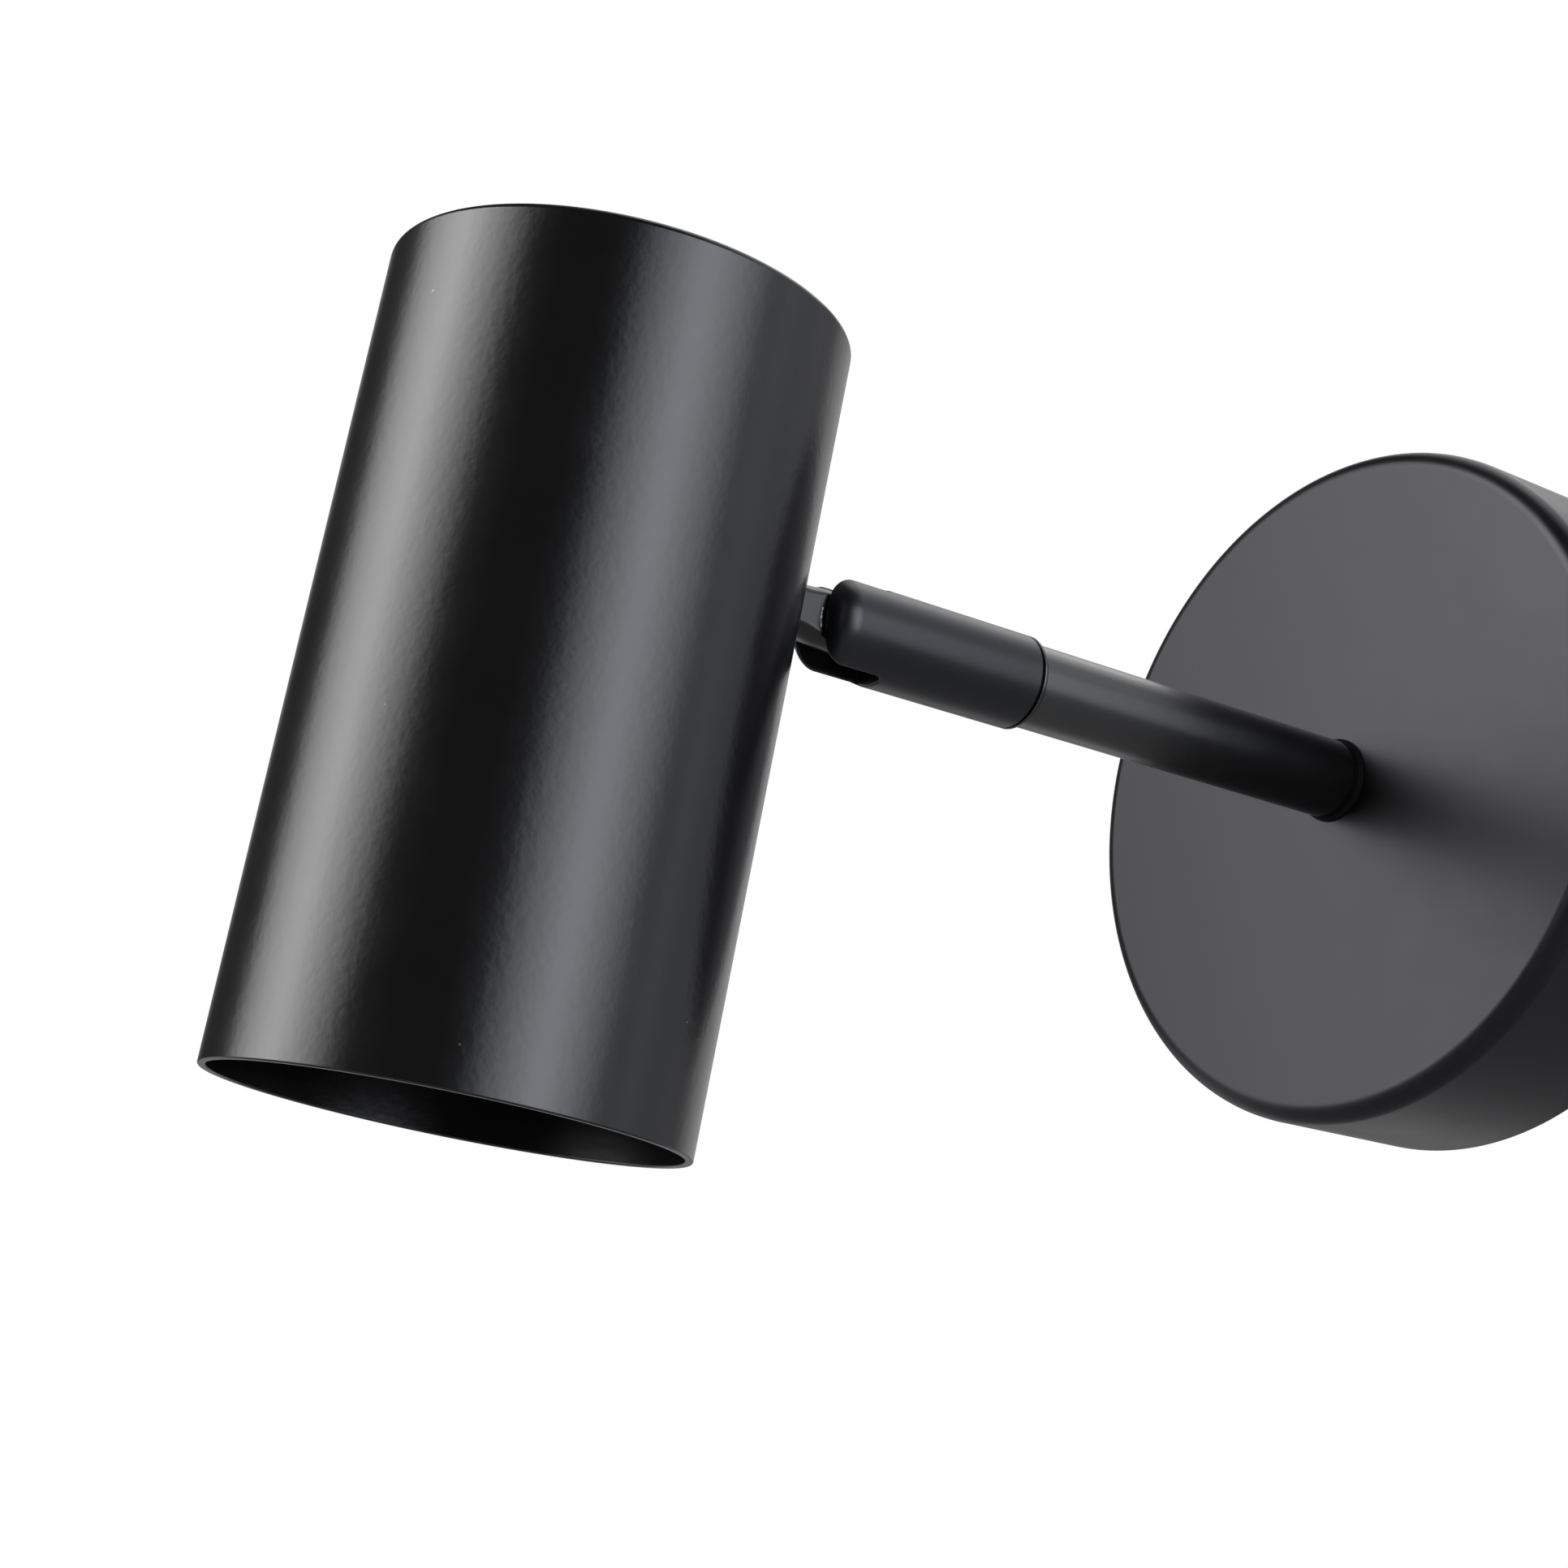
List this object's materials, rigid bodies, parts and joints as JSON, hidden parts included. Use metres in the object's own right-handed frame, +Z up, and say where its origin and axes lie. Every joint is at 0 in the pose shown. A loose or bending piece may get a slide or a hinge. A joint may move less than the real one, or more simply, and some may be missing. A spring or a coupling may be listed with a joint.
{
  "type": "adjustable wall light",
  "caption": "Wall spotlight with a round canopy, a straight arm, a swivel-and-tilt knuckle and a cylindrical head with a recessed reflector lamp.",
  "frame": {"origin": "middle of the two wall screw slots, on the wall plane, where the arm's axis meets the wall", "axes": "+Y into the wall along the arm's axis, so the light stands out along -Y; +Z up; +X to the right as seen facing the wall"},
  "size_m": [0.109, 0.1997, 0.1273],
  "materials": {
    "black_powder": "matt fine-textured black powder coat",
    "black_steel": "blackened steel screws",
    "zinc_steel": "bright zinc-plated steel",
    "brass": "plain turned brass",
    "nylon": "translucent off-white nylon",
    "ceramic": "glazed off-white ceramic, stood in for by gloss plastic",
    "rubber": "black rubber",
    "lamp_casing": "white lamp body",
    "lamp_glass": "frosted lens",
    "brown_insulation": "brown lead insulation",
    "blue_insulation": "blue lead insulation",
    "earth_insulation": "green and yellow lead insulation"
  },
  "bodies": {
    "wall_base": {"wall_bracket": "zinc_steel", "bracket_tabs": "zinc_steel", "canopy": "black_powder", "canopy_screws": "black_steel", "earth_screw": "brass", "earth_tag": "zinc_steel", "terminal_block": "nylon", "terminal_inserts": "brass", "terminal_screws": "brass", "terminal_fixing_screw": "zinc_steel", "base_fitting": "black_powder", "arm_lock_washer": "zinc_steel", "arm_nut": "zinc_steel", "arm_tube": "black_powder", "swivel_spigot": "black_powder", "swivel_washer": "rubber", "live_arm_lead": "brown_insulation", "neutral_arm_lead": "blue_insulation", "earth_lead": "earth_insulation"},
    "knuckle": {"knuckle_fork": "black_powder", "swivel_grub_screw": "black_steel", "pivot_screw": "black_steel", "pivot_pin": "zinc_steel", "friction_washers": "zinc_steel", "live_knuckle_lead": "brown_insulation", "neutral_knuckle_lead": "blue_insulation"},
    "head": {"knuckle_tongue": "black_powder", "saddle_washer": "rubber", "head_shell": "black_powder", "stud_lock_washer": "zinc_steel", "stud_nut": "zinc_steel", "holder_bracket": "zinc_steel", "lampholder": "ceramic", "holder_screws": "zinc_steel", "holder_contacts": "brass", "live_head_lead": "brown_insulation", "neutral_head_lead": "blue_insulation", "lamp_base": "ceramic", "lamp_body": "lamp_casing", "lamp_lens": "lamp_glass", "lamp_pins": "zinc_steel"}
  },
  "joints": [
    {"name": "arm_swivel", "type": "hinge", "parent": "wall_base", "child": "knuckle", "pos_m": [0, -0.0921, 0], "axis": [0, -1, 0], "range_deg": [-160, 160]},
    {"name": "head_tilt", "type": "hinge", "parent": "knuckle", "child": "head", "pos_m": [0, -0.12102, 0], "axis": [1, 0, 0], "range_deg": [-86, 94]}
  ]
}
